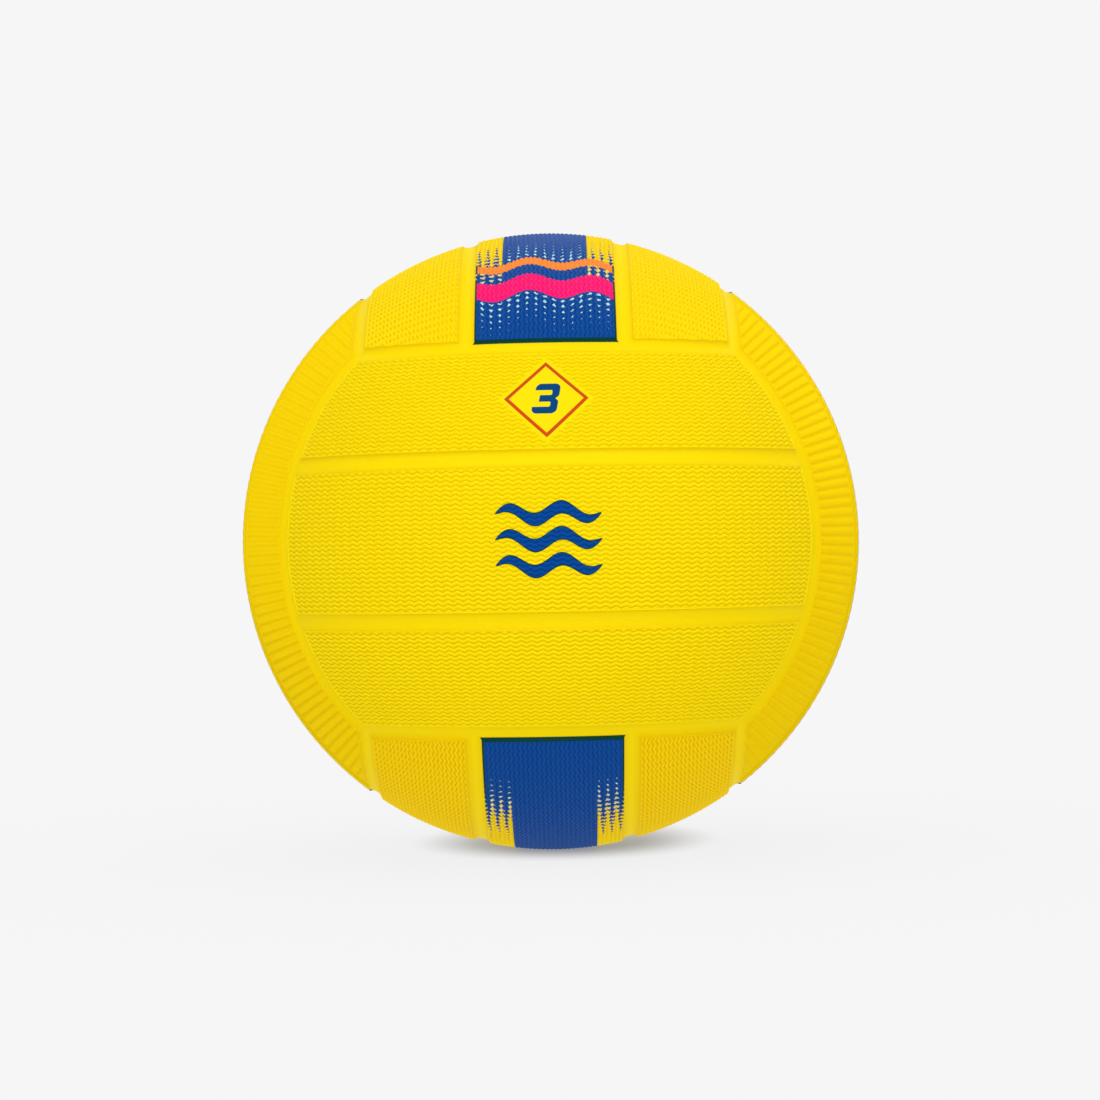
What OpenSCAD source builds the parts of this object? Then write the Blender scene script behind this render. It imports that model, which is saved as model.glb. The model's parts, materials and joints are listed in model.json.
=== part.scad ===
// Water polo ball, junior size: a wound, laminated rubber ball under an eighteen-panel cover.
// The origin is the centre of the ball, +Z is up, the front faces -Y, and the valve is at the
// back, on +Y. Lengths are in millimetres and angles in degrees.
//
// The cover has six groups of three strips. Each group lies on one end of an axis, and its
// strips lie side by side along a second axis, so that every seam is a plane cut of the ball.

/* [Ball] */
// Outside diameter over the cover panels
ball_d = 190; // [170:1:220]

/* [Cover panels] */
// Thickness of a cover panel
panel_t = 0.9; // [0.7:0.1:2.5]
// Width of the channel between two panels
channel_w = 5; // [3:0.25:7]
// Latitude of the seam between the middle and the outer strip of a group
seam_angle = 13.8; // [12:0.1:16]
// Slope of a channel's walls away from upright, so that it opens outwards
wall_slope = 8; // [2:0.5:20]

/* [Layers under the cover] */
// Thickness of the rubber under-cover, which shows in the channels
under_cover_t = 1; // [0.4:0.1:1.5]
// Thickness of the nylon thread winding
winding_t = 0.4; // [0.3:0.1:1]
// Thickness of the bladder
bladder_t = 0.5; // [0.4:0.1:1.5]
// Thickness of the cement film between two layers
bond_t = 0.1; // [0.05:0.01:0.2]

/* [Valve housing] */
// Diameter of the neck that passes through the layers
neck_d = 11; // [10:0.5:14]
// Diameter of the flange that is bonded inside the bladder
flange_d = 28; // [20:1:40]
// Thickness of the flange
flange_t = 1.5; // [1:0.1:3]
// Wall of the stem round the valve core
stem_wall = 1.8; // [1.2:0.1:2.2]
// Thickness of the floor under the valve core
floor_t = 2; // [1:0.25:4]
// Diameter of the air hole in the floor
air_hole_d = 2.6; // [1.5:0.1:3.5]
// Height of the ramp round the mouth
mouth_bevel = 0.4; // [0.2:0.05:0.6]

/* [Valve core] */
// Diameter of the head
head_d = 7.6; // [7:0.1:8]
// Thickness of the head
head_t = 1.8; // [1:0.1:2.5]
// Diameter over the sealing rings of the body
core_d = 5.8; // [5:0.1:6.2]
// Diameter of the body between the sealing rings
waist_d = 5; // [4.4:0.1:5.2]
// Width of a sealing ring
ring_w = 2; // [1:0.1:2.5]
// Whole length of the core
core_len = 16; // [14:0.5:22]
// Height of the rounded-off tip
tip_bevel = 1; // [0.5:0.1:1.5]
// Diameter of the needle guide
guide_d = 2.5; // [2.1:0.1:3]
// Depth of the needle guide below its funnel
guide_len = 5; // [3:0.25:8]
// Height and half-width of the funnel that leads the needle in
funnel = 0.6; // [0.3:0.1:1]
// Depth of the head below the cover's surface
head_recess = 0.7; // [0.6:0.05:1.2]
// Radial clearance between the core and its housing
core_gap = 0.05; // [0.02:0.01:0.1]

/* [Hidden] */
$fn = 144;

// Radii of the layers, from the outside in
ball_r = ball_d / 2;
panel_in_r = ball_r - panel_t;
under_out_r = panel_in_r - bond_t;
under_in_r = under_out_r - under_cover_t;
winding_out_r = under_in_r - bond_t;
winding_in_r = winding_out_r - winding_t;
bladder_out_r = winding_in_r - bond_t;
bladder_in_r = bladder_out_r - bladder_t;
flange_out_r = bladder_in_r - bond_t;
flange_in_r = flange_out_r - flange_t;

// Angles of the panel edges, seen from the centre of the ball
channel_half_angle = asin(channel_w / 2 / ball_r);
group_angle = asin(1 / sqrt(3)); // where three groups meet, each cut is a third of R squared
group_cap_angle = 90 - group_angle - channel_half_angle;
outer_edge_angle = group_angle - channel_half_angle;
middle_edge_angle = seam_angle - channel_half_angle;
outer_start_angle = seam_angle + channel_half_angle;

// Cutting shapes reach this far into and out of the ball, in shares of its radius
cut_in_share = 0.5;
cut_out_share = 1.2;
cut_in = ball_r * cut_in_share;
cut_out = ball_r * cut_out_share;

// Stations of the valve, measured from the centre of the ball
head_top = ball_r - head_recess;
head_seat = head_top - head_t;
core_end = head_top - core_len;
cavity_end = core_end - core_gap;
housing_end = cavity_end - floor_t;
neck_r = neck_d / 2;
bore_r = core_d / 2 + core_gap;
head_bore_r = head_d / 2 + core_gap;
stem_r = bore_r + stem_wall;
ring_pitch = (head_seat - core_end - tip_bevel - ring_w) / 2; // between the three sealing rings

yellow = "gold";
print_blue = "mediumblue";

// A point on a panel's side wall, in a section through the ball's centre. The wall stands on
// the outer surface at this angle, and the point lies this far outwards along its slope.
function wall_point(angle, slope, along) = [
    ball_r * cos(angle) + along * cos(angle - slope),
    ball_r * sin(angle) + along * sin(angle - slope)
];

// Section of a strip between two latitudes, turned about the strip's stacking axis
module strip_section(from_angle, to_angle) {
    intersection() {
        difference() {
            circle(r = ball_r);
            circle(r = panel_in_r);
        }
        polygon([
            wall_point(from_angle, -wall_slope, -cut_in),
            wall_point(from_angle, -wall_slope, cut_out),
            wall_point(to_angle, wall_slope, cut_out),
            wall_point(to_angle, wall_slope, -cut_in)
        ]);
    }
}

// One strip of the front group, its ends cut by a cone about the group's own axis
module front_strip(from_angle, to_angle) {
    inner = wall_point(group_cap_angle, wall_slope, -cut_in);
    outer = wall_point(group_cap_angle, wall_slope, cut_out);
    intersection() {
        rotate_extrude() strip_section(from_angle, to_angle);
        rotate([90, 0, 0])
            translate([0, 0, inner[0]])
                cylinder(h = outer[0] - inner[0], r1 = inner[1], r2 = outer[1]);
    }
}

module upper_strip() {
    front_strip(outer_start_angle, outer_edge_angle);
}

module middle_strip() {
    front_strip(-middle_edge_angle, middle_edge_angle);
}

module lower_strip() {
    front_strip(-outer_edge_angle, -outer_start_angle);
}

// The other five groups are turns of the front group. A third of a turn about the diagonal
// carries X to Y, Y to Z and Z to X.
module to_back() {
    rotate([0, 0, 180]) children();
}

module to_bottom() {
    rotate(a = 120, v = [1, 1, 1]) children();
}

module to_top() {
    to_bottom() to_back() children();
}

module to_left() {
    rotate(a = 240, v = [1, 1, 1]) children();
}

module to_right() {
    to_left() to_back() children();
}

// Children drawn about +Z are laid along the valve's axis, +Y
module on_valve_axis() {
    rotate([-90, 0, 0]) children();
}

// Clears the neck of the valve housing through one of the layers
module neck_hole() {
    on_valve_axis() cylinder(h = cut_out, r = neck_r + bond_t);
}

// A closed layer with its hole for the neck
module layer(outer_r, inner_r) {
    difference() {
        sphere(r = outer_r);
        sphere(r = inner_r);
        neck_hole();
    }
}

module front_panel_upper() {
    color(yellow) upper_strip();
}

module front_panel_middle() {
    color(yellow) middle_strip();
}

module front_panel_lower() {
    color(yellow) lower_strip();
}

module back_panel_upper() {
    color(yellow) to_back() upper_strip();
}

module back_panel_middle() {
    color(yellow) difference() {
        to_back() middle_strip();
        neck_hole();
    }
}

module back_panel_lower() {
    color(yellow) to_back() lower_strip();
}

module left_panel_front() {
    color(yellow) to_left() lower_strip();
}

module left_panel_middle() {
    color(print_blue) to_left() middle_strip();
}

module left_panel_rear() {
    color(yellow) to_left() upper_strip();
}

module right_panel_front() {
    color(yellow) to_right() lower_strip();
}

module right_panel_middle() {
    color(print_blue) to_right() middle_strip();
}

module right_panel_rear() {
    color(yellow) to_right() upper_strip();
}

module top_panel_left() {
    color(yellow) to_top() lower_strip();
}

module top_panel_middle() {
    color(print_blue) to_top() middle_strip();
}

module top_panel_right() {
    color(yellow) to_top() upper_strip();
}

module bottom_panel_left() {
    color(yellow) to_bottom() lower_strip();
}

module bottom_panel_middle() {
    color(print_blue) to_bottom() middle_strip();
}

module bottom_panel_right() {
    color(yellow) to_bottom() upper_strip();
}

module under_cover() {
    color("goldenrod") layer(under_out_r, under_in_r);
}

module winding() {
    color("ivory") layer(winding_out_r, winding_in_r);
}

module bladder() {
    color("dimgray") layer(bladder_out_r, bladder_in_r);
}

// Neck and stem, closed at the top by the ball's own curve
module stem_section() {
    intersection() {
        polygon([
            [0, housing_end],
            [stem_r - tip_bevel, housing_end],
            [stem_r, housing_end + tip_bevel],
            [stem_r, flange_in_r - flange_t],
            [neck_r, flange_in_r],
            [neck_r, cut_out],
            [0, cut_out]
        ]);
        circle(r = ball_r);
    }
}

// Dished flange that follows the inside of the bladder
module flange_section() {
    intersection() {
        difference() {
            circle(r = flange_out_r);
            circle(r = flange_in_r);
        }
        polygon([
            [0, 0],
            [cut_out * flange_d / 2 / flange_out_r, cut_out],
            [0, cut_out]
        ]);
    }
}

// Space for the core, its head and the needle, open at the mouth
module cavity_section() {
    polygon([
        [0, housing_end - floor_t],
        [air_hole_d / 2, housing_end - floor_t],
        [air_hole_d / 2, cavity_end],
        [bore_r, cavity_end],
        [bore_r, head_seat - core_gap],
        [head_bore_r, head_seat - core_gap],
        [head_bore_r, ball_r - mouth_bevel],
        [head_bore_r + mouth_bevel + head_recess, ball_r + head_recess],
        [0, ball_r + head_recess]
    ]);
}

module valve_housing() {
    color("black") on_valve_axis() rotate_extrude() difference() {
        union() {
            stem_section();
            flange_section();
        }
        cavity_section();
    }
}

// Outline of the core's body, from the head down to the tip, with three sealing rings
function ring_points(top) = [
    [core_d / 2, top],
    [core_d / 2, top - ring_w],
    [waist_d / 2, top - ring_w]
];

module core_section() {
    first = head_seat;
    second = first - ring_pitch;
    third = second - ring_pitch;
    polygon(concat(
        [[0, head_top], [head_d / 2, head_top], [head_d / 2, head_seat]],
        ring_points(first),
        [[waist_d / 2, second]],
        ring_points(second),
        [[waist_d / 2, third]],
        [[core_d / 2, third], [core_d / 2, core_end + tip_bevel]],
        [[core_d / 2 - tip_bevel, core_end], [0, core_end]]
    ));
}

// Funnel and blind bore that lead the needle to the slit
module guide_section() {
    guide_r = guide_d / 2;
    polygon([
        [0, head_top + funnel],
        [guide_r + 2 * funnel, head_top + funnel],
        [guide_r, head_top - funnel],
        [guide_r, head_top - funnel - guide_len],
        [0, head_top - funnel - guide_len]
    ]);
}

module valve_core() {
    color("darkslategray") on_valve_axis() rotate_extrude() difference() {
        core_section();
        guide_section();
    }
}

front_panel_upper();
front_panel_middle();
front_panel_lower();
back_panel_upper();
back_panel_middle();
back_panel_lower();
left_panel_front();
left_panel_middle();
left_panel_rear();
right_panel_front();
right_panel_middle();
right_panel_rear();
top_panel_left();
top_panel_middle();
top_panel_right();
bottom_panel_left();
bottom_panel_middle();
bottom_panel_right();
under_cover();
winding();
bladder();
valve_housing();
valve_core();
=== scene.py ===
import json
from math import acos, asin, cos, pi, radians, sin, sqrt

import bpy
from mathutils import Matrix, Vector


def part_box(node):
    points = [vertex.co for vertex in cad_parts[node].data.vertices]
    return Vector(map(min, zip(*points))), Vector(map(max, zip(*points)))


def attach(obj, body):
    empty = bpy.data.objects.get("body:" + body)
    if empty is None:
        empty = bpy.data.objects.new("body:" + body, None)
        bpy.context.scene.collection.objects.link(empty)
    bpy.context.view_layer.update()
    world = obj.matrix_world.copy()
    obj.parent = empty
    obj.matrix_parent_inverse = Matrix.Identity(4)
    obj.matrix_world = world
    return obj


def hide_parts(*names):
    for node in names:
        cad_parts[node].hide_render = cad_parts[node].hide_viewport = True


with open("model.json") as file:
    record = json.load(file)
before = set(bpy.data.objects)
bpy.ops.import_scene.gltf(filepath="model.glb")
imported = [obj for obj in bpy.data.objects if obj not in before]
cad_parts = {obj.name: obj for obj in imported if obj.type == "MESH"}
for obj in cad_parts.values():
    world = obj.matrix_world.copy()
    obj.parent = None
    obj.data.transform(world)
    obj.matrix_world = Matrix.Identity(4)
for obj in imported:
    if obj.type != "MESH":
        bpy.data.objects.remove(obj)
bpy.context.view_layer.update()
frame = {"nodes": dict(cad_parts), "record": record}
mm = 0.001

# The ball stands on this mount, so its depth is the ball's radius
mounts = {mount["name"]: mount for mount in frame["record"]["mounts"]}
ballRadius = -mounts["ground_contact"]["pos_m"][2]


def ink(red, green, blue):
    # A colour as a paint program shows it, turned into light values along the sRGB curve
    values = []
    for part in (red, green, blue):
        share = part / 255
        values.append(share / 12.92 if share <= 0.04045 else ((share + 0.055) / 1.055) ** 2.4)
    return (*values, 1)


print("camera, lamps and floor")

studio = {
    "distance": 9.1 * ballRadius,    # camera to the ball's centre
    "lens": 91.2,                    # millimetres, and so is the sensor's width
    "sensorWidth": 36,
    "clipStart": 10 * mm,
    "turn": 0.35,                    # degrees that the camera stands to the right
    "below": 0.4,                    # degrees that it stands below the ball's middle
    "roll": 1.06,                    # degrees, the ball lies a little turned in the picture
    "aimLower": 0.175,               # degrees, the ball sits just above the picture's middle
    "aimLeft": 0.024,                # degrees, and just right of it
    "backdrop": ink(246, 246, 246),
    "worldStrength": 0.46,
    # A little blue: a painted correction against the yellow light that the ball throws on the floor
    "floorColour": ink(240, 244, 252),
    "floorBounce": 0.9,              # light that the floor sends up to the ball
    "bounceLost": 0.1,               # share of it that is missing where the ball hides the sky
    "floorSize": 12,                 # metres from side to side
    "shadowBehind": 27 * mm,         # middle of the soft shadow, behind the point of contact
    "shadowRight": 3 * mm,
    "shadowNarrow": 1.35,            # how much narrower than deep it is
    "shadowNear": 30 * mm,           # reach from there at which the shadow begins to fade
    "shadowFar": 70 * mm,
    "shadowDepth": 0.66,             # how much the ball darkens the floor by hiding the sky from it
    "shadowRest": 0.08,              # the same past the shadow's reach
    "plainShare": 0.1,               # share of plain lit floor in the shadow
    "shadowSamples": 16,
    "lampDistance": 1.5,
}
# Each lamp's direction in degrees round from the front, and up, its size and its power
lamps = {
    "key_lamp": {"round": -14, "up": 54, "size": 0.7, "power": 5.0},
    "front_lamp": {"round": 0, "up": 24, "size": 0.6, "power": 4.8},
    "side_lamp": {"round": 55, "up": 50, "size": 0.6, "power": 2.0},
    "back_right_lamp": {"round": 135, "up": 42, "size": 0.6, "power": 3.2},
    "back_left_lamp": {"round": -145, "up": 42, "size": 0.6, "power": 2.6},
}


def aimAt(thing, place, target):
    thing.location = place
    thing.rotation_euler = (Vector(target) - Vector(place)).to_track_quat("-Z", "Y").to_euler()


def makeCamera():
    data = bpy.data.cameras.new("camera")
    data.lens = studio["lens"]
    data.sensor_width = studio["sensorWidth"]
    data.clip_start = studio["clipStart"]
    camera = bpy.data.objects.new("camera", data)
    bpy.context.scene.collection.objects.link(camera)
    turn = radians(studio["turn"])
    below = radians(studio["below"])
    out = studio["distance"] * cos(below)
    camera.location = (out * sin(turn), -out * cos(turn), -studio["distance"] * sin(below))
    tilt = radians(90 - studio["aimLower"]) + below
    camera.rotation_euler = (tilt, radians(studio["roll"]), turn + radians(studio["aimLeft"]))
    bpy.context.scene.camera = camera


def makeLamp(name, place, size, power):
    data = bpy.data.lights.new(name, "AREA")
    data.shape = "SQUARE"
    data.size = size
    data.energy = power
    lamp = bpy.data.objects.new(name, data)
    bpy.context.scene.collection.objects.link(lamp)
    aimAt(lamp, place, (0, 0, 0))


makeCamera()
for name, lamp in lamps.items():
    across = radians(lamp["round"])
    up = radians(lamp["up"])
    direction = Vector((sin(across) * cos(up), -cos(across) * cos(up), sin(up)))
    makeLamp(name, direction * studio["lampDistance"], lamp["size"], lamp["power"])
bpy.context.scene.view_settings.view_transform = "Standard"


class Signal:
    # A value on a wire: a sum or product of signals places the Math node for it
    def __init__(self, bench, socket):
        self.bench = bench
        self.socket = socket

    def __add__(self, other):
        return self.bench.math("ADD", self, other)

    def __radd__(self, other):
        return self.bench.math("ADD", other, self)

    def __sub__(self, other):
        return self.bench.math("SUBTRACT", self, other)

    def __rsub__(self, other):
        return self.bench.math("SUBTRACT", other, self)

    def __mul__(self, other):
        return self.bench.math("MULTIPLY", self, other)

    def __rmul__(self, other):
        return self.bench.math("MULTIPLY", other, self)

    def __truediv__(self, other):
        return self.bench.math("DIVIDE", self, other)

    def __rtruediv__(self, other):
        return self.bench.math("DIVIDE", other, self)

    def __neg__(self):
        return self.bench.math("MULTIPLY", self, -1)

    def __abs__(self):
        return self.bench.math("ABSOLUTE", self)


class Bench:
    # A node tree, with short ways to place nodes on it and wire them up
    def __init__(self, tree):
        self.tree = tree

    def place(self, kind, settings=None, **inputs):
        node = self.tree.nodes.new(kind)
        for name, value in (settings or {}).items():
            setattr(node, name, value)
        for name, value in inputs.items():
            self.feed(node.inputs[name.replace("_", " ")], value)
        return node

    def feed(self, socket, value):
        if isinstance(value, Signal):
            self.tree.links.new(value.socket, socket)
        elif isinstance(value, bpy.types.NodeSocket):
            self.tree.links.new(value, socket)
        else:
            socket.default_value = value

    def signal(self, node, output=0):
        return Signal(self, node.outputs[output])

    def math(self, operation, *values, clamp=False):
        node = self.place("ShaderNodeMath", {"operation": operation, "use_clamp": clamp})
        for socket, value in zip(node.inputs, values):
            self.feed(socket, value)
        return self.signal(node)

    def vector(self, operation, *values, output=0):
        node = self.place("ShaderNodeVectorMath", {"operation": operation})
        for socket, value in zip(node.inputs, values):
            self.feed(socket, value)
        return self.signal(node, output)

    def least(self, *values):
        return self.math("MINIMUM", *values)

    def most(self, *values):
        return self.math("MAXIMUM", *values)

    def limited(self, value):
        return self.math("ADD", value, 0, clamp=True)

    def over(self, value, edge):
        return self.math("GREATER_THAN", value, edge)

    def eased(self, value, start, end):
        # 0 up to the start and 1 from the end, along a smooth curve
        share = self.limited((value - start) / (end - start))
        return share * share * (3 - 2 * share)

    def soft(self, value, width):
        # 1 where the value is above zero, with a soft edge of this width
        return self.limited(value / width + 0.5)

    def parts(self, vector):
        node = self.place("ShaderNodeSeparateXYZ", Vector=vector)
        return [Signal(self, output) for output in node.outputs]

    def join(self, x, y, z):
        return self.signal(self.place("ShaderNodeCombineXYZ", X=x, Y=y, Z=z))

    def blendColours(self, share, first, second):
        # A Mix node's colour sockets stand behind the ones for numbers and vectors
        node = self.place("ShaderNodeMix", {"data_type": "RGBA"})
        for number, value in ((0, share), (6, first), (7, second)):
            self.feed(node.inputs[number], value)
        return self.signal(node, 2)


def newGroup(name, kind, inputs, outputs):
    # A node group with named sockets: returns its bench, its inputs as signals, and its way out
    tree = bpy.data.node_groups.new(name, kind)
    for direction, sockets in (("INPUT", inputs), ("OUTPUT", outputs)):
        for label, socketType in sockets.items():
            tree.interface.new_socket(label, in_out=direction, socket_type="NodeSocket" + socketType)
    bench = Bench(tree)
    wayIn = bench.place("NodeGroupInput")
    signals = {label: Signal(bench, wayIn.outputs[label]) for label in inputs}
    return bench, signals, bench.place("NodeGroupOutput")


def shownRays(bench):
    # 1 for the rays that show a backdrop: straight to the camera, or by way of gloss or glass
    rays = bench.place("ShaderNodeLightPath")
    shown = bench.most(bench.signal(rays, "Is Camera Ray"), bench.signal(rays, "Is Glossy Ray"))
    return bench.most(shown, bench.signal(rays, "Is Transmission Ray"))


def mixShaders(bench, share, first, second):
    mix = bench.place("ShaderNodeMixShader")
    bench.feed(mix.inputs[0], share)
    bench.feed(mix.inputs[1], first.outputs[0])
    bench.feed(mix.inputs[2], second.outputs[0])
    return mix


def makeFloorMaterial():
    # Diffuse floor with the ball's shadow, which melts into the backdrop's colour further out
    material = bpy.data.materials.new("pale_floor")
    material.use_nodes = True
    material.node_tree.nodes.clear()
    bench = Bench(material.node_tree)
    place = bench.signal(bench.place("ShaderNodeTexCoord"), "Object")
    fromShadow = bench.vector("SUBTRACT", place, (studio["shadowRight"], studio["shadowBehind"], 0))
    stretched = bench.vector("MULTIPLY", fromShadow, (studio["shadowNarrow"], 1, 1))
    distance = bench.vector("LENGTH", stretched, output="Value")
    faded = bench.eased(distance, studio["shadowNear"], studio["shadowFar"])
    depth = studio["shadowDepth"] + faded * (studio["shadowRest"] - studio["shadowDepth"])
    openSky = bench.place("ShaderNodeAmbientOcclusion", {"samples": studio["shadowSamples"]},
                          Distance=studio["floorSize"])
    covered = 1 - bench.signal(openSky, "AO")
    plain = bench.place("ShaderNodeBsdfDiffuse", Color=studio["floorColour"])
    glow = bench.place("ShaderNodeEmission", Color=studio["backdrop"], Strength=1 - covered * depth)
    bounce = bench.place("ShaderNodeEmission", Color=(1, 1, 1, 1),
                         Strength=(1 - covered * studio["bounceLost"]) * studio["floorBounce"])
    seen = mixShaders(bench, (1 - faded) * studio["plainShare"], glow, plain)
    surface = mixShaders(bench, shownRays(bench), bounce, seen)
    bench.place("ShaderNodeOutputMaterial", Surface=surface.outputs[0])
    return material


def makeFloor():
    half = studio["floorSize"] / 2
    corners = [(-half, -half, 0), (half, -half, 0), (half, half, 0), (-half, half, 0)]
    mesh = bpy.data.meshes.new("floor")
    mesh.from_pydata(corners, [], [(0, 1, 2, 3)])
    mesh.materials.append(makeFloorMaterial())
    floor = bpy.data.objects.new("floor", mesh)
    floor.location = (0, 0, -ballRadius)
    bpy.context.scene.collection.objects.link(floor)


def makeWorld():
    world = bpy.data.worlds.new("studio")
    bpy.context.scene.world = world
    world.use_nodes = True
    world.node_tree.nodes.clear()
    bench = Bench(world.node_tree)
    light = bench.place("ShaderNodeBackground", Color=(1, 1, 1, 1), Strength=studio["worldStrength"])
    seen = bench.place("ShaderNodeBackground", Color=studio["backdrop"])
    surface = mixShaders(bench, shownRays(bench), light, seen)
    bench.place("ShaderNodeOutputWorld", Surface=surface.outputs[0])


makeFloor()
makeWorld()

print("shared finishes")

cover = {
    "depth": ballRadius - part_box("under_cover")[1][2],
    "channelWidth": 5 * mm,          # from panel to panel at their tops
    "seamAngle": radians(13.8),      # latitude of the seam beside a middle strip
    "wallReach": 2 * mm,             # a panel's wall curves out this far into the channel
    "wallTurns": (0, 25, 45, 60, 75),    # degrees round that curve, from its foot to its top
    "footSink": 0.05 * mm,           # tucks the wall's foot into the under-cover
    "underLift": 0.15 * mm,          # keeps the straight faces underneath off the under-cover
    "underWidths": (0.0, 0.5),       # shares of the strip's width at the two rings underneath
    "underLengths": (0.7, 0.85),     # and of its length
    "ribDepth": 0.45 * mm,
    "ribsMiddle": 30,                # across a middle strip
    "ribsOuter": 23,                 # and across an outer one
    "dipPower": 1.4,                 # past 1 the ribs are broader than the grooves
    "crestReach": 0.4,               # share of a groove's depth that keeps the crest's colour
    "middleWave": 3.02 * mm,         # length of a wave, at the strips' own equator
    "outerWave": 3.15 * mm,
    "waveHeight": 0.3 * mm,
    "sideWaveHeight": 0.45 * mm,     # on the left and right groups
    "sideWaveSink": 0.1 * mm,        # how far the rows there sink, once in each wave
    "samplesPerWave": 7,
    "rimRound": 0.15 * mm,
    "margin": 0.35 * mm,             # smooth rim, out to the bottom of a fine groove round the ribs
    "rimGroove": 0.5,                # of a rib's depth
    "patchBlend": 0.6 * mm,          # over which the ribs fade out round a patch
    "wallBlend": 0.08 * mm,          # over which the top's colour gives way to the wall's
}
channelHalfAngle = asin(cover["channelWidth"] / 2 / ballRadius)
groupAngle = asin(1 / sqrt(3))       # latitude where three groups of strips meet
capAngle = pi / 2 - groupAngle - channelHalfAngle
middleHalfAngle = cover["seamAngle"] - channelHalfAngle
outerStart = cover["seamAngle"] + channelHalfAngle
outerEnd = groupAngle - channelHalfAngle

# Each group of strips is the front group, turned about Z and then about the cube's diagonal
groupTurns = {
    "front": (0, 0),
    "back": (pi, 0),
    "bottom": (0, 2 * pi / 3),
    "top": (pi, 2 * pi / 3),
    "left": (0, 4 * pi / 3),
    "right": (pi, 4 * pi / 3),
}


skin = {
    "grainDetail": 3.0,              # finer layers added to the noise of the grain
    "mottleDetail": 4.0,             # and to that of the mottle
}


def makeGrainGroup():
    # Fine skin of moulded rubber, with a slow mottle over it
    bench, given, out = newGroup(
        "Rubber Grain", "ShaderNodeTree",
        {"Position": "Vector", "Grain Size": "Float", "Mottle Size": "Float"},
        {"Height": "Float", "Mottle": "Float"})
    fine = bench.place("ShaderNodeTexNoise", Vector=given["Position"],
                       Scale=1 / given["Grain Size"], Detail=skin["grainDetail"])
    slow = bench.place("ShaderNodeTexNoise", Vector=given["Position"],
                       Scale=1 / given["Mottle Size"], Detail=skin["mottleDetail"])
    bench.feed(out.inputs["Height"], fine.outputs[0])
    bench.feed(out.inputs["Mottle"], slow.outputs[0])
    return bench.tree


def makeRibShadeGroup():
    # Crest is 1 on top of a rib and 0 in a groove, where painted shade goes. Wall is 1 down a panel's
    # side, and Edge, the mask of the painted shade under a panel's edge, fades from 1 to 0 down that
    # side.
    bench, given, out = newGroup(
        "Rib Shade", "ShaderNodeTree",
        {"Position": "Vector", "Groove": "Float", "Outer Radius": "Float", "Rib Depth": "Float",
         "Wall From": "Float", "Edge From": "Float", "Edge To": "Float"},
        {"Crest": "Float", "Wall": "Float", "Edge": "Float"})
    groove = given["Groove"]
    depth = given["Outer Radius"] - bench.vector("LENGTH", given["Position"], output="Value")
    depth = depth - groove * given["Rib Depth"]
    bench.feed(out.inputs["Crest"], 1 - bench.eased(groove, cover["crestReach"], 1))
    bench.feed(out.inputs["Wall"], bench.soft(depth - given["Wall From"], cover["wallBlend"]))
    fade = bench.limited((given["Edge To"] - depth) / (given["Edge To"] - given["Edge From"]))
    bench.feed(out.inputs["Edge"], bench.soft(depth - given["Edge From"], cover["wallBlend"]) * fade)
    return bench.tree


def makeStripMapGroup():
    # Lengths along and across a strip, and up to its end, after its group is turned to the front
    bench, given, out = newGroup(
        "Strip Map", "ShaderNodeTree",
        {"Position": "Vector", "Half Turn": "Float", "Diagonal Turn": "Float", "Ball Radius": "Float",
         "Cap Angle": "Float"},
        {"Along": "Float", "Across": "Float", "To End": "Float"})
    unDiagonal = bench.place("ShaderNodeVectorRotate", {"rotation_type": "AXIS_ANGLE"},
                             Vector=given["Position"], Axis=(1, 1, 1), Angle=-given["Diagonal Turn"])
    unHalf = bench.place("ShaderNodeVectorRotate", {"rotation_type": "Z_AXIS"},
                         Vector=unDiagonal.outputs[0], Angle=-given["Half Turn"])
    outward = bench.vector("NORMALIZE", unHalf.outputs[0])
    x, y, z = bench.parts(outward)
    radius = given["Ball Radius"]
    bench.feed(out.inputs["Along"], bench.math("ARCTAN2", x, -y) * radius)
    bench.feed(out.inputs["Across"], bench.math("ARCSINE", z) * radius)
    bench.feed(out.inputs["To End"], (given["Cap Angle"] - bench.math("ARCCOSINE", -y)) * radius)
    return bench.tree


grainGroup = makeGrainGroup()
ribShadeGroup = makeRibShadeGroup()
stripMapGroup = makeStripMapGroup()


def startMaterial(name, look):
    material = bpy.data.materials.new(name)
    material.use_nodes = True
    material.node_tree.nodes.clear()
    bench = Bench(material.node_tree)
    surface = bench.place("ShaderNodeBsdfPrincipled", Roughness=look["roughness"])
    surface.inputs["Specular IOR Level"].default_value = look["shine"]
    bench.place("ShaderNodeOutputMaterial", Surface=surface.outputs[0])
    position = bench.signal(bench.place("ShaderNodeTexCoord"), "Object")
    return material, bench, surface, position


def useGroup(bench, tree, **inputs):
    node = bench.place("ShaderNodeGroup", {"node_tree": tree})
    for name, value in inputs.items():
        bench.feed(node.inputs[name.replace("_", " ")], value)
    return node


def addGrain(bench, surface, position, look):
    # Bump from the grain, and a little of its mottle in the roughness
    grain = useGroup(bench, grainGroup, Position=position,
                     Grain_Size=look["grainSize"], Mottle_Size=look["mottleSize"])
    bump = bench.place("ShaderNodeBump", Height=grain.outputs["Height"],
                       Strength=look["grainStrength"], Distance=look["grainDepth"])
    bench.feed(surface.inputs["Normal"], bump.outputs[0])
    mottle = bench.signal(grain, "Mottle")
    bench.feed(surface.inputs["Roughness"], look["roughness"] + (mottle - 0.5) * look["roughnessSpread"])
    return mottle


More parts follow.
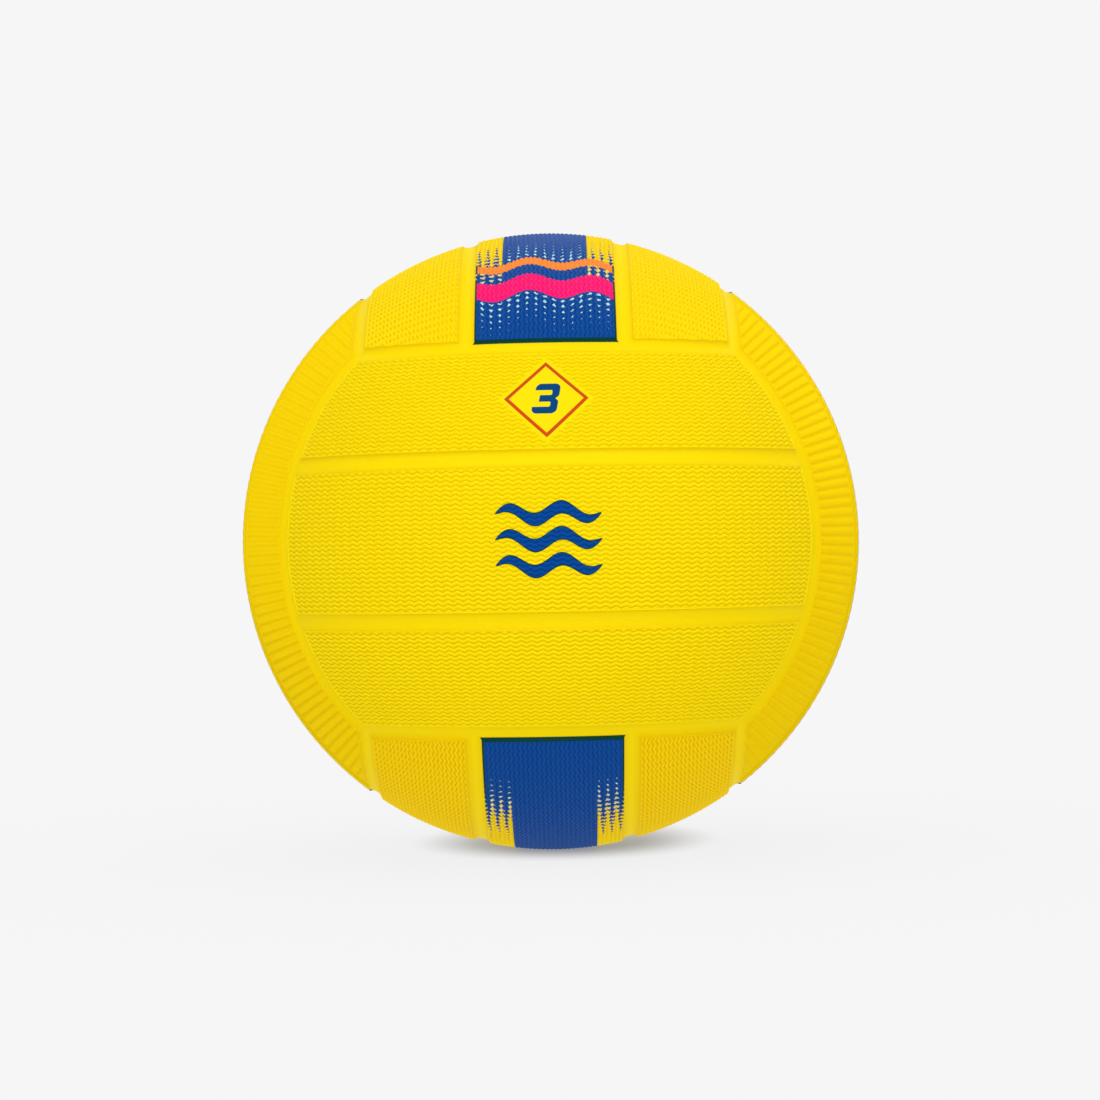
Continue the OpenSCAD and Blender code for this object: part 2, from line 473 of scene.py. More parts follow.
rubber = {
    "crest": ink(255, 230, 4),
    # painted shade in the grooves
    "groove": ink(229, 202, 0),
    "wall": ink(255, 229, 2),
    "edge": ink(236, 202, 0),        # painted shade where the wall begins, under the panel's edge
    "mottleTint": ink(255, 214, 0),
    "mottleShare": 0.3,
    "wallFrom": 0.3 * mm,            # below the panel's top
    "edgeShadeFrom": 0.1 * mm,            # the painted shade is strongest here
    "edgeShadeTo": 1.05 * mm,             # and gone here
    "shine": 0.05,
    "roughness": 0.68,
    "roughnessSpread": 0.12,
    "grainSize": 0.35 * mm,
    "grainDepth": 0.04 * mm,
    "grainStrength": 0.35,
    "mottleSize": 14 * mm,
}
# The groups round the front one carry painted shade: they are a little darker and more orange than the
# front group
awayShaded = dict(rubber, crest=ink(255, 222, 0), groove=ink(230, 194, 0), wall=ink(255, 226, 0))
# The bottom group's copy is painted darker and warmer still, as shade underneath, and the top group's is
# lighter, with hardly any painted shade in its grooves
bottomShaded = dict(awayShaded, crest=ink(255, 219, 0), groove=ink(228, 188, 0), wall=ink(255, 222, 0))
topLightened = dict(awayShaded, crest=ink(255, 225, 2), groove=ink(243, 213, 2))


def ribbedRubber(bench, surface, position, look=rubber, wallFrom=rubber["wallFrom"]):
    # Yellow rubber with painted shade in its grooves and under its panels' edges: returns its colour and
    # the crest and wall masks
    groove = bench.signal(bench.place("ShaderNodeAttribute", {"attribute_name": "groove"}), "Fac")
    shade = useGroup(bench, ribShadeGroup, Position=position, Groove=groove, Outer_Radius=ballRadius,
                     Rib_Depth=cover["ribDepth"], Wall_From=wallFrom,
                     Edge_From=look["edgeShadeFrom"], Edge_To=look["edgeShadeTo"])
    mottle = addGrain(bench, surface, position, look)
    crest = bench.signal(shade, "Crest")
    wall = bench.signal(shade, "Wall")
    # Painted shade: the grooves take the darker groove colour
    colour = bench.blendColours(crest, look["groove"], look["crest"])
    colour = bench.blendColours(wall, colour, look["wall"])
    # Painted shade down the top of each wall, under the panel's edge
    colour = bench.blendColours(bench.signal(shade, "Edge"), colour, look["edge"])
    colour = bench.blendColours(mottle * look["mottleShare"], colour, look["mottleTint"])
    return colour, crest, wall


def mapStrip(bench, position, group):
    # Where a point lies on the strip of this group that it belongs to
    halfTurn, diagonalTurn = groupTurns[group]
    return useGroup(bench, stripMapGroup, Position=position, Half_Turn=halfTurn,
                    Diagonal_Turn=diagonalTurn, Ball_Radius=ballRadius, Cap_Angle=capAngle)


def makePanelMaterial(name, look):
    material, bench, surface, position = startMaterial(name, look)
    colour, _, _ = ribbedRubber(bench, surface, position, look)
    bench.feed(surface.inputs["Base Color"], colour)
    return material


printInk = {
    "blue": ink(0, 72, 152),
    "lightCrestBlue": ink(52, 124, 200),
    "edge": ink(0, 62, 48),          # dark line round what is printed
    "magenta": ink(250, 22, 120),
    "orange": ink(255, 146, 48),
    "pale": ink(196, 240, 232),
    "red": ink(210, 76, 20),
    "numeral": ink(0, 70, 122),
    "crestLightening": 0.03,               # share of lighter ink on the rib crests
    "gloss": 0.4,                    # the film on the printed panels shines, the bare rubber doesn't
    "glossRoughness": 0.35,
    "glossIndex": 1.16,              # so low that it shines only where it turns away
    "edgeLine": 0.45 * mm,           # width of the dark line at a printed panel's edge
    "sideReach": 0.35 * mm,          # how far the ink runs down a panel's long walls
    "endReach": 0.8 * mm,            # and down its end walls
    "softness": 0.15 * mm,
}


def blueInk(bench, crest):
    # Lighter on the ribs' crests
    return bench.blendColours(crest * printInk["crestLightening"], printInk["blue"], printInk["lightCrestBlue"])


waves = {
    "length": 19 * mm,               # of one swell across the strip
    "height": 2.2 * mm,
    "wideFrom": 60 * mm,             # the magenta band, from the strip's middle
    "wideTo": 69 * mm,
    "narrowFrom": 49 * mm,           # the orange band
    "narrowTo": 54 * mm,
    "lozengePitch": 2.6 * mm,
    "lozengeShare": 0.62,            # of the pitch, at its largest
    "lozengeLeast": 0.06,            # of the pitch, and none is printed smaller
    "bandGap": 1 * mm,               # blue between a band and the lozenges
    "fadeOver": 16 * mm,             # lozenges shrink to nothing over this length
    "sideColumns": 3,                # of lozenges down each side of the strip
    "sideShare": 1.9,                # of the pitch, where they nearly join
    # 1 where a group's middle strip has the bands, and where they leave its side columns free
    "bands": {"top": 1.0, "bottom": 0.0, "left": 1.0, "right": 1.0},
    "clearSides": {"top": 0.0, "bottom": 0.0, "left": 1.0, "right": 1.0},
    "sidesFrom": {                   # they begin here, from the strip's middle
        "top": 74 * mm,
        "bottom": 74 * mm,
        "left": 140 * mm,
        "right": 140 * mm,
    },
    "sideFadeOver": 45 * mm,         # and are largest this far in
}


def makeWavePrintGroup():
    # Wavy bands across the strip with a spray of lozenges off them, and dashes down its sides
    bench, given, out = newGroup(
        "Wave Print", "ShaderNodeTree",
        {"Along": "Float", "Across": "Float", "Half Width": "Float", "Bands": "Float",
         "Clear Sides": "Float", "Sides From": "Float"},
        {"Wide Band": "Float", "Narrow Band": "Float", "Spray": "Float", "Sides": "Float",
         "Side Size": "Float"})
    along = abs(given["Along"])
    across = given["Across"]
    swell = bench.math("SINE", across * (2 * pi / waves["length"])) * waves["height"]
    level = along - swell
    softness = printInk["softness"]
    sideWidth = waves["lozengePitch"] * waves["sideColumns"]
    atSide = bench.over(abs(across), given["Half Width"] - sideWidth)
    room = given["Bands"] * (1 - atSide * given["Clear Sides"])

    def band(start, end):
        middle = (start + end) / 2
        return bench.soft((end - start) / 2 - abs(level - middle), softness) * room

    def lozenges(u, v, size):
        # Diamonds on a square grid, of this share of their pitch
        pitch = waves["lozengePitch"]
        x = abs(bench.math("WRAP", u / pitch, 0.5, -0.5))
        y = abs(bench.math("WRAP", v / pitch, 0.5, -0.5))
        large = bench.over(size, waves["lozengeLeast"])
        return bench.soft((size / 2 - x - y) * pitch, softness) * large

    wide = band(waves["wideFrom"], waves["wideTo"])
    narrow = band(waves["narrowFrom"], waves["narrowTo"])
    inner = bench.limited(1 - (waves["narrowFrom"] - level) / waves["fadeOver"])
    inner = inner * bench.over(waves["narrowFrom"] - waves["bandGap"], level)
    outer = bench.limited(1 - (level - waves["wideTo"]) / waves["fadeOver"])
    outer = outer * bench.over(level, waves["wideTo"] + waves["bandGap"])
    size = (inner + outer) * waves["lozengeShare"]
    spray = lozenges(across, level, size) * room
    sideShare = bench.limited((given["Sides From"] - along) / waves["sideFadeOver"])
    clearOfBands = (1 - wide) * (1 - narrow)
    sides = lozenges(across, given["Along"], sideShare * waves["sideShare"]) * atSide * clearOfBands
    bench.feed(out.inputs["Wide Band"], wide)
    bench.feed(out.inputs["Narrow Band"], narrow)
    bench.feed(out.inputs["Spray"], spray)
    bench.feed(out.inputs["Sides"], sides)
    bench.feed(out.inputs["Side Size"], bench.limited(sideShare * waves["sideShare"]))
    return bench.tree


wavePrintGroup = makeWavePrintGroup()


def makePrintedMaterial(group):
    material, bench, surface, position = startMaterial("printed_" + group, awayShaded)
    strip = mapStrip(bench, position, group)
    across = bench.signal(strip, "Across")
    halfWidth = middleHalfAngle * ballRadius
    toSide = halfWidth - abs(across)
    toEnd = bench.signal(strip, "To End")
    atEnd = bench.over(toSide, toEnd)
    inkReach = printInk["sideReach"] + atEnd * (printInk["endReach"] - printInk["sideReach"])
    base, crest, wall = ribbedRubber(bench, surface, position, awayShaded, inkReach)
    design = useGroup(bench, wavePrintGroup, Along=bench.signal(strip, "Along"), Across=across,
                      Half_Width=halfWidth, Bands=waves["bands"][group],
                      Clear_Sides=waves["clearSides"][group], Sides_From=waves["sidesFrom"][group])
    colour = blueInk(bench, crest)
    colour = bench.blendColours(bench.signal(design, "Spray"), colour, printInk["pale"])
    colour = bench.blendColours(bench.signal(design, "Wide Band"), colour, printInk["magenta"])
    colour = bench.blendColours(bench.signal(design, "Narrow Band"), colour, printInk["orange"])
    edge = bench.soft(printInk["edgeLine"] - bench.least(toSide, toEnd), printInk["softness"])
    colour = bench.blendColours(edge, colour, printInk["edge"])
    sideColour = bench.blendColours(bench.signal(design, "Side Size"), printInk["pale"], base)
    colour = bench.blendColours(bench.signal(design, "Sides"), colour, sideColour)
    bench.feed(surface.inputs["Base Color"], bench.blendColours(wall, colour, base))
    film = (1 - wall) * (1 - bench.signal(design, "Sides"))
    bench.feed(surface.inputs["Coat Weight"], film * printInk["gloss"])
    surface.inputs["Coat Roughness"].default_value = printInk["glossRoughness"]
    surface.inputs["Coat IOR"].default_value = printInk["glossIndex"]
    return material


sizeMark = {
    "latitude": radians(24.5),       # of its centre
    "half": 11.2 * mm,               # from the centre to a corner, at the middle of the line
    "line": 1 * mm,
    "pad": 13 * mm,                  # the smooth diamond that the ribs leave free
    "digitWidth": 7 * mm,
    "digitHeight": 9.4 * mm,
    "digitStroke": 2.1 * mm,
    "digitNotch": 0.9 * mm,
    "digitSlant": 0.18,
    "digitRound": 0.75,              # of the stroke, radius of the numeral's corners
    "gapRound": 0.2,                 # of the stroke, radius of the corners of its gaps
    "waistOut": 1.25,                # of half the width, from its middle to the cut beside its waist
    "waistHalf": 0.7,                # of half the width, half that cut's length
}


def makeSizeMarkGroup():
    # A diamond outline with the numeral 3, as one mask each
    bench, given, out = newGroup(
        "Size Mark", "ShaderNodeTree",
        {"Along": "Float", "Up": "Float"},
        {"Diamond": "Float", "Numeral": "Float"})
    x = given["Along"]
    y = given["Up"]
    softness = printInk["softness"]
    rim = abs(abs(x) + abs(y) - sizeMark["half"])
    diamond = bench.soft(sizeMark["line"] * sqrt(2) / 2 - rim, softness)
    slanted = x - y * sizeMark["digitSlant"]
    halfWidth = sizeMark["digitWidth"] / 2
    halfHeight = sizeMark["digitHeight"] / 2
    stroke = sizeMark["digitStroke"]

    def block(middleX, middleY, halfX, halfY, corner):
        # Distance into a round-cornered block, which is below zero outside it
        dx = abs(slanted - middleX) - (halfX - corner)
        dy = abs(y - middleY) - (halfY - corner)
        squareX = bench.math("POWER", bench.most(dx, 0), 2)
        squareY = bench.math("POWER", bench.most(dy, 0), 2)
        outside = bench.math("SQRT", squareX + squareY)
        return corner - outside - bench.least(bench.most(dx, dy), 0)

    body = block(0, 0, halfWidth, halfHeight, stroke * sizeMark["digitRound"])
    gapHeight = (halfHeight * 2 - stroke * 3) / 2
    gapMiddle = (stroke + gapHeight) / 2
    gapCorner = stroke * sizeMark["gapRound"]
    gaps = []
    for side in (-1, 1):
        gaps.append(block(-stroke, side * gapMiddle, halfWidth, gapHeight / 2, gapCorner))
    waistMiddle = -halfWidth * sizeMark["waistOut"]
    waist = block(waistMiddle, 0, halfWidth * sizeMark["waistHalf"], stroke, gapCorner)
    notch = sizeMark["digitNotch"] - abs(slanted - halfWidth) - abs(y)
    hollow = bench.most(bench.most(gaps[0], gaps[1]), bench.most(waist, notch))
    numeral = bench.soft(bench.least(body, -hollow), softness)
    bench.feed(out.inputs["Diamond"], diamond)
    bench.feed(out.inputs["Numeral"], numeral)
    return bench.tree


def makeSizePanelMaterial():
    material, bench, surface, position = startMaterial("size_rubber", rubber)
    base, _, _ = ribbedRubber(bench, surface, position)
    strip = mapStrip(bench, position, "front")
    up = bench.signal(strip, "Across") - sizeMark["latitude"] * ballRadius
    along = bench.signal(strip, "Along") * cos(sizeMark["latitude"])
    mark = useGroup(bench, makeSizeMarkGroup(), Along=along, Up=up)
    colour = bench.blendColours(bench.signal(mark, "Diamond"), base, printInk["red"])
    colour = bench.blendColours(bench.signal(mark, "Numeral"), colour, printInk["numeral"])
    bench.feed(surface.inputs["Base Color"], colour)
    return material


waterMark = {
    "halfLength": 15 * mm,
    "pitch": 7.2 * mm,               # between its three waves
    "swellLength": 15 * mm,
    "swellHeight": 1.7 * mm,
    "halfStroke": 2 * mm,
    "edge": 0.3 * mm,                # dark line round each wave
}


def makeWaterMarkGroup():
    # Three plain waves, one above the other, tapered to their ends
    bench, given, out = newGroup(
        "Water Mark", "ShaderNodeTree",
        {"Along": "Float", "Across": "Float"},
        {"Fill": "Float", "Edge": "Float"})
    x = given["Along"]
    swell = bench.math("SINE", x * (2 * pi / waterMark["swellLength"])) * waterMark["swellHeight"]
    y = (given["Across"] - swell) / waterMark["pitch"]
    line = bench.most(bench.least(bench.math("ROUND", y), 1), -1)
    offCentre = abs(y - line) * waterMark["pitch"]
    taper = bench.math("SQRT", bench.limited(1 - bench.math("POWER", x / waterMark["halfLength"], 2)))
    softness = printInk["softness"]
    inside = taper * (waterMark["halfStroke"] + softness) - softness - offCentre
    bench.feed(out.inputs["Fill"], bench.soft(inside, softness))
    bench.feed(out.inputs["Edge"], bench.soft(waterMark["edge"] - inside, softness))
    return bench.tree


def makeFrontMiddleMaterial():
    material, bench, surface, position = startMaterial("marked_rubber", rubber)
    base, crest, _ = ribbedRubber(bench, surface, position)
    strip = mapStrip(bench, position, "front")
    mark = useGroup(bench, makeWaterMarkGroup(), Along=bench.signal(strip, "Along"),
                    Across=bench.signal(strip, "Across"))
    blue = bench.blendColours(bench.signal(mark, "Edge"), blueInk(bench, crest), printInk["edge"])
    bench.feed(surface.inputs["Base Color"], bench.blendColours(bench.signal(mark, "Fill"), base, blue))
    return material


print("cover panels")


def makeStripTree():
    # One ribbed strip of the cover, closed underneath, on a grid whose rows follow its ribs.
    # The grid's outermost rings are the underside, the wall and the smooth rim.
    rings = 9
    rowsPerRib = 4
    rowsToFollow = 3                 # from straight rows at the rim to rows that follow the waves
    sharpFrom = radians(55)          # steeper edges than this aren't shaded smooth
    weldWithin = 0.001 * mm
    drillSides = 96
    drillLength = 6                  # times the cover's depth
    bench, given, out = newGroup(
        "Cover Strip", "GeometryNodeTree",
        {"Ball Radius": "Float", "Start Angle": "Float", "End Angle": "Float", "Cap Angle": "Float",
         "Depth": "Float", "Wall Reach": "Float", "Ribs": "Int", "Columns": "Int", "Rib Depth": "Float",
         "Wave Length": "Float", "Wave Height": "Float", "Wave Sink": "Float", "Margin": "Float",
         "Rim Round": "Float", "Rim Groove": "Float",
         "Patch Latitude": "Float", "Patch Size": "Float", "Patch Is Round": "Float",
         "Hole Radius": "Float", "Half Turn": "Float", "Diagonal Turn": "Float", "Material": "Material"},
        {"Geometry": "Geometry"})
    radius = given["Ball Radius"]
    rows = given["Ribs"] * rowsPerRib + (1 + 2 * rings)
    columns = given["Columns"] + (1 + 2 * rings)
    grid = bench.place("GeometryNodeMeshGrid", Vertices_X=columns, Vertices_Y=rows)

    index = bench.signal(bench.place("GeometryNodeInputIndex"))
    column = bench.math("FLOOR", (index + 0.5) / rows)
    row = index - column * rows
    lastRow = rows - 1
    lastColumn = columns - 1
    rowFromEdge = bench.least(row, lastRow - row)
    columnFromEdge = bench.least(column, lastColumn - column)
    rowSide = bench.math("SIGN", row - lastRow / 2)
    rowRing = bench.least(rowFromEdge, rings)
    columnRing = bench.least(columnFromEdge, rings)
    ring = bench.least(rowRing, columnRing)
    atRim = bench.over(rings + 0.5, bench.least(rowFromEdge, columnFromEdge))

    def table(which, values):
        node = bench.place("GeometryNodeIndexSwitch", {"data_type": "FLOAT"}, Index=which)
        for _ in range(len(values) - len(node.index_switch_items)):
            node.index_switch_items.new()
        for number, value in enumerate(values):
            bench.feed(node.inputs[number + 1], value)
        return bench.signal(node)

    # Distance in from the strip's edge, ring by ring, and the drop from its top: two rings of the
    # underside, five up the wall's hollow curve, two over the rounded rim, and one where the
    # margin ends in the bottom of the groove round the ribs
    depth = given["Depth"]
    rim = given["Rim Round"]
    insets = [-given["Wall Reach"]] * 2
    drops = [depth - cover["underLift"]] * 2
    wallFoot = depth + cover["footSink"]
    wallTurns = [radians(turn) for turn in cover["wallTurns"]]
    for turn in wallTurns:
        outward = 1 - sin(turn) / sin(wallTurns[-1])
        upward = (1 - cos(turn)) / (1 - cos(wallTurns[-1]))
        insets.append(given["Wall Reach"] * -outward)
        drops.append(wallFoot - (wallFoot - rim) * upward)
    insets += [rim * (1 - cos(pi / 4)), rim, given["Margin"]]
    drops += [rim * (1 - sin(pi / 4)), 0.0, 0.0]
    onTop = (1.0,) * (rings - 1)
    shrinkAcross = table(ring, cover["underWidths"] + onTop)
    shrinkAlong = table(ring, cover["underLengths"] + onTop)

    halfWidth = (given["End Angle"] - given["Start Angle"]) / 2 * radius
    middle = (given["End Angle"] + given["Start Angle"]) / 2
    ribbedWidth = (halfWidth - given["Margin"]) * 2
    rowStep = ribbedWidth / (given["Ribs"] * rowsPerRib)
    rowInset = table(rowRing, insets) + bench.most(rowFromEdge - rings, 0) * rowStep
    across = rowSide * (halfWidth - rowInset) * shrinkAcross
    latitude = middle + across / radius

    # A row reaches as far as the cone that cuts the strip's ends
    capHere = given["Cap Angle"] - table(columnRing, insets) / radius
    reach = bench.math("ARCCOSINE", bench.math("COSINE", capHere) / bench.math("COSINE", latitude))
    spread = (column - lastColumn / 2) / (lastColumn / 2 - rings)
    longitude = bench.most(bench.least(spread, 1), -1) * reach * shrinkAlong

    # Rows follow the waves, but near the rim they straighten out and cut the ribs off. Each row
    # also sinks once in a wave.
    wavePhase = longitude * radius * (2 * pi) / given["Wave Length"]
    swell = bench.math("SINE", wavePhase) * given["Wave Height"]
    sunk = (0.5 + bench.math("COSINE", wavePhase) * 0.5) * given["Wave Sink"]
    follow = bench.limited((rowFromEdge - rings) / rowsToFollow)
    ribPitch = ribbedWidth / given["Ribs"]
    phase = (row - rings) / rowsPerRib - swell * (1 - follow) / ribPitch
    dip = 0.5 - bench.math("COSINE", phase * (2 * pi)) * 0.5
    dip = bench.math("POWER", dip, cover["dipPower"])
    latitude = latitude + swell * follow / radius

    # The ribs leave a patch free: a diamond for a mark, or a disc round the valve
    patchX = longitude * radius * bench.math("COSINE", latitude)
    patchY = (latitude - given["Patch Latitude"]) * radius
    diamond = abs(patchX) + abs(patchY)
    disc = bench.math("SQRT", patchX * patchX + patchY * patchY)
    fromCentre = diamond + (disc - diamond) * given["Patch Is Round"]
    outside = bench.limited((fromCentre - given["Patch Size"]) / cover["patchBlend"])
    inside = bench.over(ring, rings - 0.5)
    groove = bench.most(dip * outside, atRim * given["Rim Groove"]) * inside
    height = radius - table(ring, drops) - given["Rib Depth"] * groove - sunk * outside * inside
    level = bench.math("COSINE", latitude) * height
    place = bench.join(bench.math("SINE", longitude) * level,
                       -(bench.math("COSINE", longitude) * level),
                       bench.math("SINE", latitude) * height)
    marked = bench.place("GeometryNodeStoreNamedAttribute", {"data_type": "FLOAT", "domain": "POINT"},
                         Geometry=grid.outputs["Mesh"], Name="groove", Value=groove)
    shaped = bench.place("GeometryNodeSetPosition", Geometry=marked.outputs[0], Position=place)
    closed = bench.place("GeometryNodeMergeByDistance", Geometry=shaped.outputs[0],
                         Distance=weldWithin)

    # The hole for the valve's neck
    drill = bench.place("GeometryNodeMeshCylinder", Vertices=drillSides,
                        Radius=given["Hole Radius"], Depth=depth * drillLength)
    drill = bench.place("GeometryNodeTransform", Geometry=drill.outputs["Mesh"],
                        Translation=bench.join(0.0, -radius, 0.0), Rotation=(pi / 2, 0, 0))
    drilled = bench.place("GeometryNodeMeshBoolean", {"operation": "DIFFERENCE", "solver": "MANIFOLD"})
    bench.feed(drilled.inputs["Mesh 1"], closed.outputs[0])
    bench.feed(drilled.inputs["Mesh 2"], drill.outputs[0])
    choice = bench.place("GeometryNodeSwitch", {"input_type": "GEOMETRY"})
    bench.feed(choice.inputs[0], bench.over(given["Hole Radius"], 0))
    bench.feed(choice.inputs[1], closed.outputs[0])
    bench.feed(choice.inputs[2], drilled.outputs[0])

    turned = choice
    for axis, turn in (((0, 0, 1), "Half Turn"), ((1, 1, 1), "Diagonal Turn")):
        rotation = bench.place("FunctionNodeAxisAngleToRotation", Axis=axis, Angle=given[turn])
        turned = bench.place("GeometryNodeTransform", Geometry=turned.outputs[0],
                             Rotation=rotation.outputs[0])
    smooth = bench.place("GeometryNodeSetShadeSmooth", {"domain": "FACE"},
                         Geometry=turned.outputs[0], Shade_Smooth=True)
    angle = bench.signal(bench.place("GeometryNodeInputMeshEdgeAngle"), "Unsigned Angle")
    crisp = bench.place("GeometryNodeSetShadeSmooth", {"domain": "EDGE"}, Geometry=smooth.outputs[0],
                        Selection=bench.over(angle, sharpFrom), Shade_Smooth=False)
    solid = bench.place("GeometryNodeRealizeInstances", Geometry=crisp.outputs[0])
    painted = bench.place("GeometryNodeSetMaterial", Geometry=solid.outputs[0],
                          Material=given["Material"])
    bench.feed(out.inputs[0], painted.outputs[0])
    return bench.tree


stripTree = makeStripTree()


def growStrip(name, sizes):
    # Runs the strip tree once and keeps its result as a plain mesh at the origin
    carrier = bpy.data.objects.new("carrier", bpy.data.meshes.new("carrier"))
    bpy.context.scene.collection.objects.link(carrier)
    growth = carrier.modifiers.new("strip", "NODES")
    growth.node_group = stripTree
    for item in stripTree.interface.items_tree:
        if item.item_type == "SOCKET" and item.in_out == "INPUT":
            growth[item.identifier] = sizes[item.name]
    evaluated = carrier.evaluated_get(bpy.context.evaluated_depsgraph_get())
    mesh = bpy.data.meshes.new_from_object(evaluated)
    carrier.modifiers.remove(growth)
    bpy.data.objects.remove(carrier)
    mesh.name = name
    mesh.materials.clear()
    mesh.materials.append(sizes["Material"])
    mesh.polygons.foreach_set("material_index", [0] * len(mesh.polygons))
    piece = bpy.data.objects.new(name, mesh)
    bpy.context.scene.collection.objects.link(piece)
    return piece


valve = {
    "neckRadius": 5.5 * mm,
    "bond": 0.1 * mm,                # between the neck and the cover round it
    "patch": 8.5 * mm,               # radius of the smooth disc round the mouth
}
stripNames = {
    "front": ("lower", "middle", "upper"),
    "back": ("lower", "middle", "upper"),
    "left": ("front", "middle", "rear"),
    "right": ("front", "middle", "rear"),
    "top": ("left", "middle", "right"),
    "bottom": ("left", "middle", "right"),
}
stripAngles = (
    (-outerEnd, -outerStart),
    (-middleHalfAngle, middleHalfAngle),
    (outerStart, outerEnd),
)


def waveColumns(startAngle, endAngle, waveLength):
    # Columns enough to draw each wave along the strip's middle
    middle = (startAngle + endAngle) / 2
    reach = acos(cos(capAngle) / cos(middle))
    return round(2 * reach * ballRadius / waveLength * cover["samplesPerWave"])


def makePanelMaterials():
    # The rubber of each group, and the finishes of the panels that carry a print or a mark
    plain = makePanelMaterial("ribbed_rubber", rubber)
    plainAwayShaded = makePanelMaterial("away_shaded_ribbed_rubber", awayShaded)
    usual = {
        "front": plain,
        "back": plain,
        "left": plainAwayShaded,
        "right": plainAwayShaded,
        "top": makePanelMaterial("top_lightened_ribbed_rubber", topLightened),
        "bottom": makePanelMaterial("bottom_shaded_ribbed_rubber", bottomShaded),
    }
    special = {
        "front_panel_upper": makeSizePanelMaterial(),
        "front_panel_middle": makeFrontMiddleMaterial(),
    }
    for group in waves["bands"]:
        special[f"{group}_panel_middle"] = makePrintedMaterial(group)
    return usual, special


def stripSizes(group, strip, startAngle, endAngle):
    waveLength = cover["middleWave" if strip == "middle" else "outerWave"]
    atSide = group in ("left", "right")
    sizes = {
        "Ball Radius": ballRadius,
        "Start Angle": startAngle,
        "End Angle": endAngle,
        "Cap Angle": capAngle,
        "Depth": cover["depth"],
        "Wall Reach": cover["wallReach"],
        "Ribs": cover["ribsMiddle" if strip == "middle" else "ribsOuter"],
        "Columns": waveColumns(startAngle, endAngle, waveLength),
        "Rib Depth": cover["ribDepth"],
        "Wave Length": waveLength,
        "Wave Height": cover["sideWaveHeight" if atSide else "waveHeight"],
        "Wave Sink": cover["sideWaveSink"] if atSide else 0.0,
        "Margin": cover["margin"],
        "Rim Round": cover["rimRound"],
        "Rim Groove": cover["rimGroove"],
        "Patch Latitude": 0.0,
        "Patch Size": -1.0,          # below zero there is no patch
        "Patch Is Round": 0.0,
        "Hole Radius": 0.0,
        "Half Turn": float(groupTurns[group][0]),
        "Diagonal Turn": float(groupTurns[group][1]),
    }
    if (group, strip) == ("front", "upper"):
        sizes["Patch Latitude"] = sizeMark["latitude"]
        sizes["Patch Size"] = sizeMark["pad"]
    if (group, strip) == ("back", "middle"):
        sizes["Patch Size"] = valve["patch"]
        sizes["Patch Is Round"] = 1.0
        sizes["Hole Radius"] = valve["neckRadius"] + valve["bond"]
    return sizes


def makePanels():
    usual, special = makePanelMaterials()
    for group, names in stripNames.items():
        for strip, (startAngle, endAngle) in zip(names, stripAngles):
            node = f"{group}_panel_{strip}"
            printed = group in waves["bands"] and strip == "middle"
            sizes = stripSizes(group, strip, startAngle, endAngle)
            sizes["Material"] = special.get(node, usual[group])
            piece = growStrip(node + "_ribbed", sizes)
            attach(piece, "ball")
            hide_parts(node)


makePanels()

print("under-cover, layers and valve")

channel = {
    "colour": ink(255, 229, 2),
    "tint": ink(255, 222, 0),
    "shine": 0.05,
    "roughness": 0.62,
    "roughnessSpread": 0.1,
    "grainSize": 0.5 * mm,
    "grainDepth": 0.02 * mm,
    "grainStrength": 0.3,
    "mottleSize": 18 * mm,
}
black = {
    "colour": ink(30, 30, 32),
    "tint": ink(52, 50, 50),
    "shine": 0.4,
    "roughness": 0.55,
    "roughnessSpread": 0.15,
    "grainSize": 0.3 * mm,
    "grainDepth": 0.03 * mm,
    "grainStrength": 0.4,
    "mottleSize": 6 * mm,
}
housing = dict(channel, colour=ink(238, 202, 10), tint=ink(222, 184, 6),
               roughness=0.5, mottleSize=5 * mm)
butyl = dict(black, colour=ink(38, 36, 36), tint=ink(60, 56, 54),
             roughness=0.65, mottleSize=20 * mm)
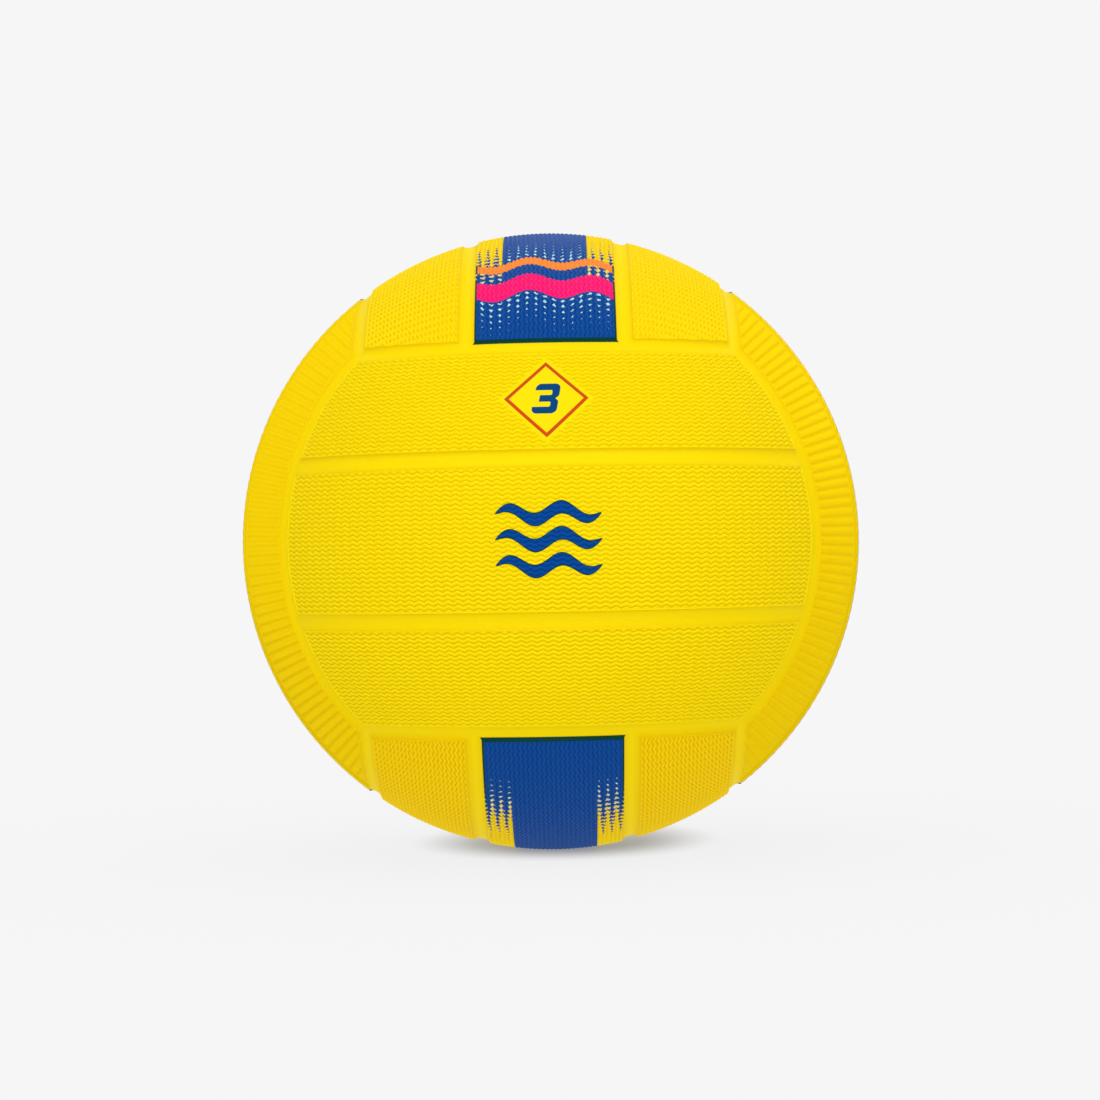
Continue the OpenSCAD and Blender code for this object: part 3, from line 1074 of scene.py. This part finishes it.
thread = {
    "light": ink(238, 234, 220),
    "dark": ink(176, 168, 148),
    "pitch": 0.9 * mm,
    "depth": 0.15 * mm,
    "bumpStrength": 0.8,
    "turns": ((1, 0.3, 0.1), (0.2, 1, 0.4), (0.5, 0.2, 1), (1, -1, 0.3)),    # ways that it is wound
    "patchScale": 60.0,              # where each way lies on top, for the first way
    "patchScaleStep": 20,            # and finer for each next one
    "patchContrast": 6,
    "patchCut": 2.4,
    "shine": 0.5,
    "roughness": 0.6,
}


def makeMouldedMaterial(name, look):
    material, bench, surface, position = startMaterial(name, look)
    mottle = addGrain(bench, surface, position, look)
    bench.feed(surface.inputs["Base Color"], bench.blendColours(mottle, look["colour"], look["tint"]))
    return material


def makeThreadMaterial():
    # Nylon thread wound in several directions over the bladder
    material, bench, surface, position = startMaterial("wound_thread", thread)
    strands = None
    for number, turn in enumerate(thread["turns"]):
        along = bench.vector("DOT_PRODUCT", position, turn, output="Value")
        ridge = bench.math("SINE", along * (2 * pi / thread["pitch"])) * 0.5 + 0.5
        scale = thread["patchScale"] + thread["patchScaleStep"] * number
        patches = bench.place("ShaderNodeTexNoise", Vector=position, Scale=scale, Detail=0.0)
        onTop = bench.limited(bench.signal(patches) * thread["patchContrast"] - thread["patchCut"])
        ridge = ridge * onTop
        strands = ridge if strands is None else bench.most(strands, ridge)
    bump = bench.place("ShaderNodeBump", Height=strands, Distance=thread["depth"],
                       Strength=thread["bumpStrength"])
    bench.feed(surface.inputs["Normal"], bump.outputs[0])
    colour = bench.blendColours(strands, thread["dark"], thread["light"])
    bench.feed(surface.inputs["Base Color"], colour)
    return material


def finishNode(node, material):
    for slot in frame["nodes"][node].material_slots:
        slot.material = material


finishNode("under_cover", makeMouldedMaterial("channel_rubber_smooth", channel))
finishNode("winding", makeThreadMaterial())
finishNode("bladder", makeMouldedMaterial("bladder_rubber", butyl))
finishNode("valve_housing", makeMouldedMaterial("valve_rubber_moulded", housing))
finishNode("valve_core", makeMouldedMaterial("core_rubber_moulded", black))

print("done")
